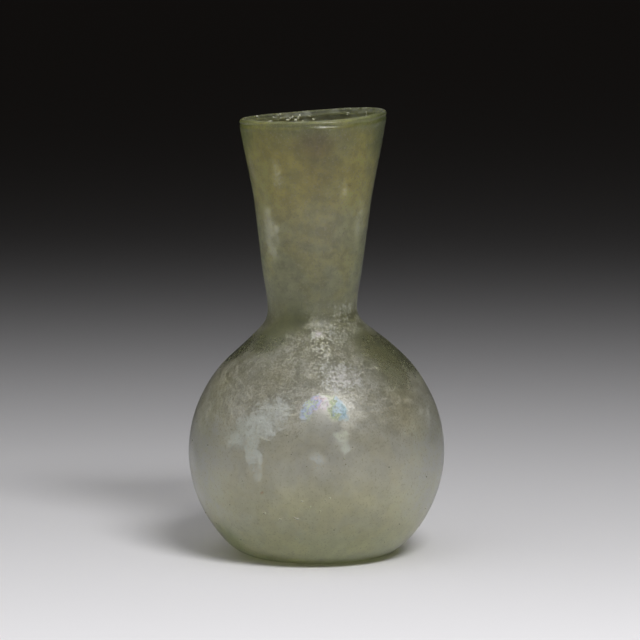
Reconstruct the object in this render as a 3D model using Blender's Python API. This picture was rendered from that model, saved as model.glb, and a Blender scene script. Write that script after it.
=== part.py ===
"""Glass perfume flask: a free-blown bottle with a globular body and a tall funnel neck.

One piece of glass, hollow and empty, open at the mouth. Metres, +Z up. The origin is on the
surface that the flask stands on, under the middle of the body. The front of the flask faces -Y.
"""
import math

import bmesh
import bpy
from mathutils import Matrix, Vector

MM = 0.001

# Body: a globe that is flattened below into a rounded foot
BODY_RADIUS = 32.0 * MM
BODY_CENTRE_HEIGHT = 26.1 * MM
FOOT_ROUNDING = 12.0 * MM
KICK_RADIUS = 8.5 * MM
KICK_HEIGHT = 1.2 * MM

# Shoulder: a short straight slope from the globe into the hollow at the foot of the neck
SHOULDER_SLOPE = math.radians(41.7)
NECK_FOOT_RADIUS = 11.1 * MM
NECK_FOOT_HOLLOW = 6.2 * MM

# Neck: (height, radius) where the funnel swells and flares, read upwards
NECK_STATIONS = (
    (70.0 * MM, 12.35 * MM),
    (80.0 * MM, 13.65 * MM),
    (90.0 * MM, 14.85 * MM),
    (100.0 * MM, 16.85 * MM),
    (108.65 * MM, 18.4 * MM),
)

# Wall thickness from the foot to the lip
FOOT_WALL = 2.6 * MM
BODY_WALL = 1.6 * MM
NECK_WALL = 1.3 * MM
LIP_WALL = 1.7 * MM
FOOT_WALL_TOP = 14.0 * MM
NECK_WALL_FROM = 48.0 * MM
NECK_WALL_TO = 62.0 * MM
LIP_WALL_FROM = 102.0 * MM
LIP_WALL_TO = 107.0 * MM

# Unevenness of a piece made by hand: the neck stands to one side, and the lip is higher on the right
NECK_SHIFT_AT_FOOT = -1.1 * MM
NECK_SHIFT_AT_LIP = -0.8 * MM
SHIFT_FROM = 52.0 * MM
SHIFT_TO = 62.0 * MM
LIP_RISE_RIGHT = 1.04 * MM
LIP_WAVE_SIDES = 0.27 * MM
LIP_WAVE_BACK = 0.15 * MM
LIP_RISE_FROM = 84.0 * MM
SHOULDER_FULLNESS = 0.5 * MM
SHOULDER_HEIGHT = 52.5 * MM
SHOULDER_SPREAD = 7.0 * MM

# Facets
SEGMENTS = 60
KICK_STEPS = 3
FOOT_STEPS = 4
GLOBE_STEPS = 13
SLOPE_STEPS = 2
HOLLOW_STEPS = 4
NECK_STEPS = 9
LIP_STEPS = 5
SMOOTH_LIMIT = math.radians(40.0)

# Glass: pale olive green under a thin milky weathering film
GLASS_COLOUR = (0.36, 0.39, 0.27, 1.0)
GLASS_ROUGHNESS = 0.32
GLASS_TRANSMISSION = 0.75
GLASS_IOR = 1.5


def ease(value, low, high):
    """Return how far value has come from low to high, from 0 to 1, with soft ends."""
    share = min(max((value - low) / (high - low), 0.0), 1.0)
    return share * share * (3.0 - 2.0 * share)


def arc(centre, radius, start, end, steps):
    """Return steps points along an arc, without its first point; an angle of 0 points straight down."""
    points = []
    for step in range(1, steps + 1):
        angle = start + (end - start) * step / steps
        points.append((centre[0] + radius * math.sin(angle), centre[1] - radius * math.cos(angle)))
    return points


def smooth_curve(stations, first_slope, steps):
    """Return steps points on a cubic curve through stations of (height, radius), without the first."""
    slopes = [first_slope]
    for before, after in zip(stations, stations[2:]):
        slopes.append((after[1] - before[1]) / (after[0] - before[0]))
    last, end = stations[-2], stations[-1]
    slopes.append((end[1] - last[1]) / (end[0] - last[0]))
    points = []
    for step in range(1, steps + 1):
        height = stations[0][0] + (end[0] - stations[0][0]) * step / steps
        span = max(i for i in range(len(stations) - 1) if stations[i][0] < height)
        (low, low_radius), (high, high_radius) = stations[span], stations[span + 1]
        length = high - low
        t = (height - low) / length
        radius = (2 * t**3 - 3 * t**2 + 1) * low_radius + (3 * t**2 - 2 * t**3) * high_radius
        radius += (t**3 - 2 * t**2 + t) * length * slopes[span]
        radius += (t**3 - t**2) * length * slopes[span + 1]
        points.append((radius, height))
    return points


def outer_profile():
    """Return the outside as (radius, height) points, from the middle of the underside to the lip."""
    points = [(0.0, KICK_HEIGHT)]
    for step in range(1, KICK_STEPS + 1):
        share = step / KICK_STEPS
        points.append((KICK_RADIUS * share, KICK_HEIGHT * (1.0 + math.cos(math.pi * share)) / 2.0))

    # The foot's rounding touches the floor below it and the globe beside it
    drop = BODY_CENTRE_HEIGHT - FOOT_ROUNDING
    foot_radius = math.sqrt((BODY_RADIUS - FOOT_ROUNDING) ** 2 - drop**2)
    globe_start = math.atan2(foot_radius, drop)
    points.append((foot_radius, 0.0))
    points += arc((foot_radius, FOOT_ROUNDING), FOOT_ROUNDING, 0.0, globe_start, FOOT_STEPS)

    globe_end = math.pi - SHOULDER_SLOPE
    points += arc((0.0, BODY_CENTRE_HEIGHT), BODY_RADIUS, globe_start, globe_end, GLOBE_STEPS)

    # The slope leaves the globe along its tangent and runs to where the hollow starts
    globe_radius, globe_height = points[-1]
    hollow_radius = NECK_FOOT_RADIUS + NECK_FOOT_HOLLOW
    cosine, sine = math.cos(SHOULDER_SLOPE), math.sin(SHOULDER_SLOPE)
    run = (globe_radius + NECK_FOOT_HOLLOW * sine - hollow_radius) / cosine
    for step in range(1, SLOPE_STEPS + 1):
        along = run * step / SLOPE_STEPS
        points.append((globe_radius - along * cosine, globe_height + along * sine))
    hollow_height = globe_height + run * sine + NECK_FOOT_HOLLOW * cosine
    hollow = (hollow_radius, hollow_height)
    points += arc(hollow, NECK_FOOT_HOLLOW, -SHOULDER_SLOPE, -math.pi / 2.0, HOLLOW_STEPS)

    neck = ((hollow_height, NECK_FOOT_RADIUS),) + NECK_STATIONS
    return points + smooth_curve(neck, 0.0, NECK_STEPS)


def wall_at(height):
    """Return the wall's thickness at a height."""
    wall = FOOT_WALL + (BODY_WALL - FOOT_WALL) * ease(height, 0.0, FOOT_WALL_TOP)
    wall += (NECK_WALL - BODY_WALL) * ease(height, NECK_WALL_FROM, NECK_WALL_TO)
    return wall + (LIP_WALL - NECK_WALL) * ease(height, LIP_WALL_FROM, LIP_WALL_TO)


def inner_profile(outer):
    """Return the inside as points from the lip down to the axis, a wall's thickness in from the outside."""
    points = []
    for index, (radius, height) in enumerate(outer):
        before = outer[max(index - 1, 0)]
        after = outer[min(index + 1, len(outer) - 1)]
        along = Vector((after[0] - before[0], after[1] - before[1])).normalized()
        if index == 0:
            along = Vector((1.0, 0.0))
        wall = wall_at(height)
        points.append((radius - along.y * wall, height + along.x * wall))
    points.reverse()
    return points


def whole_profile():
    """Return the section of the glass: the outside, the rounded lip, and the inside."""
    outer = outer_profile()
    inner = inner_profile(outer)
    (outside, outside_height), (inside, inside_height) = outer[-1], inner[0]
    lip = []
    for step in range(1, LIP_STEPS):
        angle = math.pi * step / LIP_STEPS
        across = (1.0 - math.cos(angle)) / 2.0
        radius = outside + (inside - outside) * across
        height = outside_height + (inside_height - outside_height) * across
        lip.append((radius, height + LIP_WALL / 2.0 * math.sin(angle)))
    return outer + lip + inner


def settle(point, top):
    """Return a point of the true round form, moved as the hand-made piece leans and sags."""
    angle = math.atan2(point.y, point.x)
    shift = ease(point.z, SHIFT_FROM, SHIFT_TO) * NECK_SHIFT_AT_FOOT
    climb = min(max((point.z - SHIFT_TO) / (top - SHIFT_TO), 0.0), 1.0)
    shift += climb * (NECK_SHIFT_AT_LIP - NECK_SHIFT_AT_FOOT)

    swell = SHOULDER_FULLNESS * math.exp(-(((point.z - SHOULDER_HEIGHT) / SHOULDER_SPREAD) ** 2))
    shift += swell * max(math.cos(angle), 0.0) ** 2

    rise = LIP_RISE_RIGHT * math.cos(angle)
    rise += LIP_WAVE_SIDES * math.cos(2.0 * angle) + LIP_WAVE_BACK * math.sin(2.0 * angle)
    return Vector((point.x + shift, point.y, point.z + rise * ease(point.z, LIP_RISE_FROM, top)))


def glass_material():
    """Return the weathered glass."""
    material = bpy.data.materials.new("weathered_glass")
    material.use_nodes = True
    shader = material.node_tree.nodes["Principled BSDF"]
    shader.inputs["Base Color"].default_value = GLASS_COLOUR
    shader.inputs["Roughness"].default_value = GLASS_ROUGHNESS
    shader.inputs["Metallic"].default_value = 0.0
    shader.inputs["Transmission Weight"].default_value = GLASS_TRANSMISSION
    shader.inputs["IOR"].default_value = GLASS_IOR
    return material


def build_flask():
    """Turn the section about the vertical axis, settle it, and return the flask."""
    form = bmesh.new()
    section = whole_profile()
    ring = [form.verts.new((radius, 0.0, height)) for radius, height in section]
    edges = [form.edges.new(pair) for pair in zip(ring, ring[1:])]
    bmesh.ops.spin(
        form,
        geom=ring + edges,
        cent=(0.0, 0.0, 0.0),
        axis=(0.0, 0.0, 1.0),
        angle=2.0 * math.pi,
        steps=SEGMENTS,
        use_merge=True,
        use_duplicate=False,
    )
    bmesh.ops.remove_doubles(form, verts=form.verts[:], dist=0.01 * MM)
    bmesh.ops.transform(form, matrix=Matrix.Rotation(math.pi / SEGMENTS, 4, "Z"), verts=form.verts[:])
    bmesh.ops.recalc_face_normals(form, faces=form.faces[:])

    top = max(vert.co.z for vert in form.verts)
    for vert in form.verts:
        vert.co = settle(vert.co, top)

    mesh = bpy.data.meshes.new("glass_flask")
    form.to_mesh(mesh)
    form.free()
    mesh.materials.append(glass_material())
    mesh.shade_smooth()
    mesh.set_sharp_from_angle(angle=SMOOTH_LIMIT)
    flask = bpy.data.objects.new("glass_flask", mesh)
    bpy.context.scene.collection.objects.link(flask)
    return flask


def main():
    """Clear the scene and build the flask."""
    for leftover in list(bpy.data.objects):
        bpy.data.objects.remove(leftover, do_unlink=True)
    build_flask()


main()
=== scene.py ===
"""Looks of the glass perfume flask: an old, weathered, free-blown vessel on a pale floor."""

import logging
import math
import random
from dataclasses import dataclass, field
from enum import Enum

import bpy
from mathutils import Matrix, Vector, noise


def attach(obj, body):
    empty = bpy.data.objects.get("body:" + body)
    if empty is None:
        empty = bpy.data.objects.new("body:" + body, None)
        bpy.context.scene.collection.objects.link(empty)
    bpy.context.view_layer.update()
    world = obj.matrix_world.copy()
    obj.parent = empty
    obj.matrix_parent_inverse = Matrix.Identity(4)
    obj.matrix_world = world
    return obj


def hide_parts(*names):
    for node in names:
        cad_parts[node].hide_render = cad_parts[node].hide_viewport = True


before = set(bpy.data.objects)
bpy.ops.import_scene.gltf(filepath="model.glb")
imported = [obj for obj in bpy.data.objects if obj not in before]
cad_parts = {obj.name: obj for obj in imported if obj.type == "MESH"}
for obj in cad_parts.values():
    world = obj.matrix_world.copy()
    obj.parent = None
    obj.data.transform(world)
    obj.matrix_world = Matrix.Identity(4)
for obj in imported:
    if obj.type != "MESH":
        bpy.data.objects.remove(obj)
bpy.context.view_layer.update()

logging.basicConfig(level=logging.INFO, format="%(message)s")
log = logging.getLogger("flask")

MM = 0.001
NODE = "glass_flask"
BODY = "root"

Colour = tuple[float, float, float]
Point = tuple[float, float, float]
Limits = tuple[float, float]
Outline = list[tuple[float, float]]
Socket = bpy.types.NodeSocket

WHITE: Colour = (1.0, 1.0, 1.0)
WELD = 0.01 * MM
NOISE_MIDDLE = 0.5

# The sockets of a Mix node that mixes colours
MIX_FIRST, MIX_SECOND, MIX_RESULT = 6, 7, 2


class Wall(Enum):
    """The side of the glass that a grain of crust sits on."""

    OUTSIDE = "outside"
    INSIDE = "inside"


@dataclass(frozen=True)
class Patch:
    """A spot on the glass, its sizes in millimetres and its colour linear."""

    centre: Point
    reach: float
    colour: Colour = (0.0, 0.0, 0.0)
    strength: float = 1.0
    tall: float = 1.0
    soft: float = 0.4


@dataclass(frozen=True)
class Cloud:
    """A cloudy noise: the size of its blots, its finer layers, and how flat the blots lie."""

    size: float
    detail: float = 3.0
    rough: float = 0.55
    flat: float = 1.0


@dataclass(frozen=True)
class Fade:
    """A soft change from a start to an end, while a value goes from low to high."""

    low: float
    high: float
    start: float = 0.0
    end: float = 1.0


@dataclass(frozen=True)
class Belt:
    """A level belt round the flask: the heights where it comes in and where it goes out."""

    rise_from: float
    rise_to: float
    fall_from: float
    fall_to: float


def ease(value: float, low: float, high: float) -> float:
    """Return how far a value has come between two limits, with soft ends.

    Args:
        value: The number to place.
        low: Where the share is 0.
        high: Where the share is 1.

    Returns:
        A share from 0 to 1.
    """
    share = min(max((value - low) / (high - low), 0.0), 1.0)
    return share * share * (3.0 - 2.0 * share)


def hump(value: float, middle: float, spread: float) -> float:
    """Return 1 at the middle of a soft hump, falling to 0 on both sides of it."""
    return math.exp(-(((value - middle) / spread) ** 2))


def as_share(value: float) -> float:
    """Return a noise value of -1 to 1 as a share of 0 to 1."""
    return 0.5 + 0.5 * value


def round_noise(spot: Vector, scale: float, layer: float) -> float:
    """Return a noise of -1 to 1 that changes round the flask and not with height.

    Args:
        spot: The point that is read.
        scale: How many blots there are in a metre.
        layer: A number that keeps one such noise apart from another.

    Returns:
        The noise at that point.
    """
    return noise.noise(Vector((spot.x * scale, spot.y * scale, layer)))


def deselect_all() -> None:
    """Leave object mode with nothing selected."""
    if bpy.context.object and bpy.context.object.mode != "OBJECT":
        bpy.ops.object.mode_set(mode="OBJECT")
    bpy.ops.object.select_all(action="DESELECT")


def make_active(piece: bpy.types.Object) -> None:
    """Select one object and make it the active one.

    Args:
        piece: The object to work on.
    """
    deselect_all()
    piece.select_set(True)
    bpy.context.view_layer.objects.active = piece


def apply_modifier(piece: bpy.types.Object, kind: str, **settings: object) -> None:
    """Add a modifier to a piece and apply it at once.

    Args:
        piece: The object to shape.
        kind: Blender's name of the modifier type.
        **settings: The modifier's own settings.
    """
    make_active(piece)
    modifier = piece.modifiers.new(kind.title(), kind)
    for name, value in settings.items():
        setattr(modifier, name, value)
    bpy.ops.object.modifier_apply(modifier=modifier.name)


class Graph:
    """A material's nodes, with one short call for each kind of node."""

    def __init__(self, name: str) -> None:
        """Start a material with its shader and its object coordinates.

        Args:
            name: The material's name.
        """
        self.material = bpy.data.materials.new(name)
        self.material.use_nodes = True
        self.nodes = self.material.node_tree.nodes
        self.links = self.material.node_tree.links
        self.shader = self.nodes["Principled BSDF"]
        self.place = self.add("ShaderNodeTexCoord").outputs["Object"]

    def add(self, kind: str, **settings: object) -> bpy.types.Node:
        """Add a node and set its own settings.

        Args:
            kind: The node's type name.
            **settings: Attributes to set on the node.

        Returns:
            The new node.
        """
        node = self.nodes.new(kind)
        for name, value in settings.items():
            setattr(node, name, value)
        return node

    def feed(self, socket: Socket, value: object) -> None:
        """Link a value to a socket if it is an output, or set it there.

        Args:
            socket: The input to fill.
            value: A node's output, a number, or a colour or vector.
        """
        if isinstance(value, Socket):
            self.links.new(value, socket)
        elif isinstance(value, tuple) and len(value) == 3 and socket.type == "RGBA":
            socket.default_value = (*value, 1.0)
        else:
            socket.default_value = value

    def calc(self, operation: str, *values: object) -> Socket:
        """Return a piece of plain arithmetic.

        Args:
            operation: Blender's name of the operation.
            *values: One to three numbers or outputs.

        Returns:
            The result's output.
        """
        node = self.add("ShaderNodeMath", operation=operation)
        for socket, value in zip(node.inputs, values):
            self.feed(socket, value)
        return node.outputs["Value"]

    def move(self, operation: str, *values: object) -> Socket:
        """Return a piece of vector arithmetic.

        Args:
            operation: Blender's name of the operation.
            *values: One to three vectors or outputs.

        Returns:
            The result's output, a number where the operation gives one.
        """
        node = self.add("ShaderNodeVectorMath", operation=operation)
        for socket, value in zip(node.inputs, values):
            self.feed(socket, value)
        return node.outputs["Value" if operation in ("LENGTH", "DISTANCE") else "Vector"]

    def fade(self, value: object, fade: Fade) -> Socket:
        """Return a value carried softly from one range to another.

        Args:
            value: The output to carry over.
            fade: The range it comes from and the one it goes to.

        Returns:
            The result's output.
        """
        node = self.add("ShaderNodeMapRange", interpolation_type="SMOOTHSTEP")
        for socket, given in zip(node.inputs, (value, fade.low, fade.high, fade.start, fade.end)):
            self.feed(socket, given)
        return node.outputs["Result"]

    def within(self, height: object, belt: Belt) -> Socket:
        """Return 1 inside a belt and 0 outside it, with soft edges.

        Args:
            height: The height's output.
            belt: The belt to test.

        Returns:
            The share's output.
        """
        rise = self.fade(height, Fade(belt.rise_from, belt.rise_to))
        fall = self.fade(height, Fade(belt.fall_from, belt.fall_to, 1.0, 0.0))
        return self.calc("MULTIPLY", rise, fall)

    def axis(self, name: str) -> Socket:
        """Return one of the object's own coordinates, in metres: "X", "Y" or "Z"."""
        node = self.add("ShaderNodeSeparateXYZ")
        self.feed(node.inputs["Vector"], self.place)
        return node.outputs[name]

    def clouds(self, cloud: Cloud, output: str = "Fac") -> Socket:
        """Return a cloudy noise.

        Args:
            cloud: The noise to draw.
            output: "Fac" for a number around 0.5, "Color" for three of them.

        Returns:
            Its output.
        """
        node = self.add("ShaderNodeTexNoise")
        place = self.place
        if cloud.flat != 1.0:
            place = self.move("MULTIPLY", place, (1.0, 1.0, cloud.flat))
        self.feed(node.inputs["Vector"], place)
        node.inputs["Scale"].default_value = 1.0 / cloud.size
        node.inputs["Detail"].default_value = cloud.detail
        node.inputs["Roughness"].default_value = cloud.rough
        return node.outputs[output]

    def mix(self, share: object, first: object, second: object, blend: str = "MIX") -> Socket:
        """Return one colour laid over another.

        Args:
            share: How much of the second colour shows.
            first: The colour below.
            second: The colour above.
            blend: How they are mixed.

        Returns:
            The mixed colour.
        """
        node = self.add("ShaderNodeMix", data_type="RGBA", blend_type=blend)
        self.feed(node.inputs["Factor"], share)
        self.feed(node.inputs[MIX_FIRST], first)
        self.feed(node.inputs[MIX_SECOND], second)
        return node.outputs[MIX_RESULT]

    def ramp(self, value: object, stops: tuple[tuple[float, Colour], ...]) -> Socket:
        """Return a colour that changes along a value.

        Args:
            value: The output that is read.
            stops: Pairs of a value and the colour there, read upwards.

        Returns:
            The colour's output.
        """
        low, high = stops[0][0], stops[-1][0]
        node = self.add("ShaderNodeValToRGB")
        node.color_ramp.interpolation = "EASE"
        above = self.calc("SUBTRACT", value, low)
        self.feed(node.inputs["Fac"], self.calc("DIVIDE", above, high - low))
        elements = node.color_ramp.elements
        while len(elements) < len(stops):
            elements.new(0.5)
        for element, (position, colour) in zip(elements, stops):
            element.position = (position - low) / (high - low)
            element.color = (*colour, 1.0)
        return node.outputs["Color"]

    def frayed(self, cloud: Cloud, reach: float) -> Socket:
        """Return the object coordinates, shaken so that what is drawn on them has a ragged edge.

        Args:
            cloud: The noise that shakes them.
            reach: How far a point is moved at most, in metres.

        Returns:
            The new coordinates.
        """
        shake = self.clouds(cloud, "Color")
        centred = self.move("SUBTRACT", shake, (NOISE_MIDDLE,) * 3)
        return self.move("MULTIPLY_ADD", centred, (2.0 * reach,) * 3, self.place)

    def near(self, place: Socket, patch: Patch) -> Socket:
        """Return 1 inside a patch and 0 outside it.

        Args:
            place: The coordinates that are read.
            patch: The patch to test.

        Returns:
            The share's output, times the patch's own strength.
        """
        squeeze = (1.0, 1.0, 1.0 / patch.tall)
        centre = tuple(MM * part * factor for part, factor in zip(patch.centre, squeeze))
        if patch.tall != 1.0:
            place = self.move("MULTIPLY", place, squeeze)
        reach = patch.reach * MM
        edge = Fade(reach * (1.0 - patch.soft), reach, patch.strength, 0.0)
        return self.fade(self.move("DISTANCE", place, centre), edge)

    def dent(self, pattern: Socket, depth: float, strength: float = 1.0) -> None:
        """Dent the surface by a pattern that is finer than its faces.

        Args:
            pattern: The pattern's output, high where the surface stands out.
            depth: How high it stands out, in metres.
            strength: How much of it shows.
        """
        bump = self.add("ShaderNodeBump")
        bump.inputs["Strength"].default_value = strength
        bump.inputs["Distance"].default_value = depth
        self.feed(bump.inputs["Height"], pattern)
        self.feed(self.shader.inputs["Normal"], bump.outputs["Normal"])


@dataclass(frozen=True)
class Patterns:
    """The outputs that several parts of the glass's finish read."""

    height: Socket
    grain: Socket
    mottle: Socket
    patchy: Socket
    torn: Socket
    nibbled: Socket
    neck: Socket
    shoulder: Socket
    clean: Socket
    weather: Socket
    path: Socket


@dataclass(frozen=True)
class WeatheredGlass:
    """Pale olive glass under a thin, speckled, milk-white film, with painted light and shade laid on
    it.

    Colours are linear, and sizes are in metres but for those of the patches.
    """

    name: str = "weathered_glass"
    # The glass's colour up its height; the darkening towards the lip is painted shade
    tones: tuple[tuple[float, Colour], ...] = (
        (0.5 * MM, (0.74, 0.79, 0.45)),
        (4.0 * MM, (0.89, 0.90, 0.61)),
        (14.0 * MM, (0.93, 0.91, 0.76)),
        (26.0 * MM, (0.89, 0.875, 0.81)),
        (40.0 * MM, (0.90, 0.885, 0.79)),
        (52.0 * MM, (0.74, 0.74, 0.58)),
        (60.0 * MM, (0.64, 0.65, 0.43)),
        (72.0 * MM, (0.82, 0.82, 0.55)),
        (84.0 * MM, (0.90, 0.88, 0.59)),
        (94.0 * MM, (0.88, 0.82, 0.36)),
        (100.0 * MM, (0.82, 0.77, 0.32)),
        (105.0 * MM, (0.69, 0.66, 0.27)),
        (110.5 * MM, (0.60, 0.64, 0.33)),
    )
    # Painted light and shade across the neck, by its left-right place: lighter a little in from each
    # side, and painted shade at its edges, darkest on the right
    painted_neck_bands: tuple[tuple[float, Colour], ...] = (
        (-15.0 * MM, (0.86, 0.90, 0.76)),
        (-13.0 * MM, (1.06, 1.07, 0.98)),
        (-10.8 * MM, (1.12, 1.11, 1.06)),
        (-8.0 * MM, (1.02, 1.01, 0.97)),
        (-4.5 * MM, (0.94, 0.93, 0.87)),
        (-1.0 * MM, (0.88, 0.87, 0.78)),
        (3.0 * MM, (0.90, 0.89, 0.81)),
        (6.0 * MM, (0.98, 0.97, 0.92)),
        (8.5 * MM, (1.07, 1.06, 1.0)),
        (11.0 * MM, (1.10, 1.10, 1.02)),
        (13.0 * MM, (0.94, 0.96, 0.84)),
        (15.0 * MM, (0.42, 0.48, 0.35)),
    )

    # Colours of the weathering, and of the painted glints
    frost: Colour = (0.97, 0.955, 0.90)
    pit: Colour = (0.50, 0.48, 0.36)
    crumb: Colour = (0.97, 0.90, 0.72)
    crust: Colour = (0.40, 0.42, 0.35)
    glint_colour: Colour = (0.86, 0.80, 1.0)
    warm_tint: Colour = (1.03, 1.0, 0.88)
    cool_tint: Colour = (0.96, 0.98, 1.03)
    brightest: Colour = (0.98, 0.98, 0.98)

    # Noises that it is drawn with, and how far the last two fray an edge
    grain: Cloud = Cloud(0.6 * MM, 3.0, 0.7)
    pitting: Cloud = Cloud(0.5 * MM, 2.0, 0.6)
    mottle: Cloud = Cloud(2.8 * MM, 4.0, 0.65)
    streaks: Cloud = Cloud(4.0 * MM, 3.0, 0.6, flat=4.0)
    drifts: Cloud = Cloud(7.0 * MM, 3.0, 0.6)
    caking: Cloud = Cloud(1.8 * MM, 4.0, 0.7, flat=1.8)
    colour_play: Cloud = Cloud(1.5 * MM, 4.0, 0.6)
    tearing: Cloud = Cloud(2.4 * MM, 4.0)
    tear_reach: float = 1.9 * MM
    nibbling: Cloud = Cloud(1.1 * MM, 4.0)
    nibble_reach: float = 0.9 * MM
    patchy_mottle: float = 0.4
    patchy_grain: float = 0.6

    # Bare glass: the neck's painted light bands and level marks, its clouds and drifts, and painted
    # light on the body's left and right sides
    neck_taper: float = 0.157
    neck_reach: float = 1.36 * MM
    neck_aside: float = 1.0 * MM
    neck_from: Fade = Fade(58.0 * MM, 70.0 * MM)
    mark_belt: Belt = Belt(66.0 * MM, 70.0 * MM, 78.0 * MM, 84.0 * MM)
    mark_gain: Fade = Fade(0.35, 0.65, -0.10, 0.06)
    cloud_gain: Fade = Fade(0.34, 0.66, -1.0, 1.0)
    body_swing: float = 0.08
    neck_swing: float = 0.12
    drift_edge: Fade = Fade(0.42, 0.58)
    body_tint: float = 0.4
    # Painted light on the body's left and right sides, low on the globe
    painted_limb_from: Fade = Fade(15.0 * MM, 28.0 * MM)
    painted_limb_belt: Belt = Belt(7.0 * MM, 16.0 * MM, 32.0 * MM, 42.0 * MM)
    painted_limb_light: float = 0.20
    evenness: float = 0.98

    # Frost, pits and crumbs on the shoulder, and the clean zones among them
    shoulder: Belt = Belt(28.0 * MM, 40.0 * MM, 57.0 * MM, 66.0 * MM)
    clean_fray: float = 3.0
    clean_edge: Fade = Fade(0.25, 0.75)
    frost_gain: float = 0.05
    frost_edge: Fade = Fade(0.51, 0.61)
    frost_share: float = 0.75
    # How much more the frost lightens where the painted sheen lies
    painted_sheen_share: float = 0.2
    pit_gain: float = 0.10
    pit_edge: Fade = Fade(0.56, 0.68)
    pit_share: float = 0.6
    crumb_edge: Fade = Fade(0.56, 0.66)
    crumb_share: float = 0.7
    dent_depth: float = 0.05 * MM
    dent_strength: float = 0.6
    dent_floor: float = 0.25

    # Milky film with painted light among it, and the reach in millimetres below which a patch frays
    # only a little
    small_tint_patch: float = 2.0
    small_film: float = 3.5
    dust_grain: float = 2.8
    dust_mottle: float = 1.8
    film_edge: Fade = Fade(0.30, 0.95)
    film_feather: Fade = Fade(0.05, 0.6)
    film_grain: Fade = Fade(0.42, 0.56, 0.20, 0.58)

    # Crust inside the mouth
    mouth_aside: float = 0.9 * MM
    mouth_flare: float = 0.179
    mouth_wall: Fade = Fade(-2.1 * MM, -1.5 * MM, 1.0, 0.0)
    mouth_from: Fade = Fade(98.0 * MM, 106.0 * MM)
    lip_caking: Fade = Fade(104.0 * MM, 110.0 * MM, 0.0, 0.08)
    cake_edge: Fade = Fade(0.54, 0.66, 0.08, 0.9)
    cake_share: float = 0.85

    # How clear, rough and glossy the glass is
    clear: Fade = Fade(4.0 * MM, 26.0 * MM, 0.86, 0.95)
    milk_transmission: float = 0.60
    # The iridescent arch and the glints are painted highlights that let less light through
    pearl_transmission: float = 0.80
    glint_depth: float = 0.55
    frost_veil: float = 0.40
    # How much the painted sheen veils the glass, so that it shows brighter
    painted_sheen_veil: float = 0.65
    pearl_metal: float = 0.08
    rough: Fade = Fade(0.0, 1.0, 0.30, 0.24)
    collar: Belt = Belt(55.0 * MM, 58.0 * MM, 61.0 * MM, 64.0 * MM)
    collar_roughness: float = 0.16
    pearl_roughness: float = 0.22
    mouth_roughness: float = 0.30
    sheen: float = 0.02
    sheen_roughness: float = 0.5
    ior: float = 1.5
    depth_colour: Colour = (0.55, 0.62, 0.30)
    depth_density: float = 26.0
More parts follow.
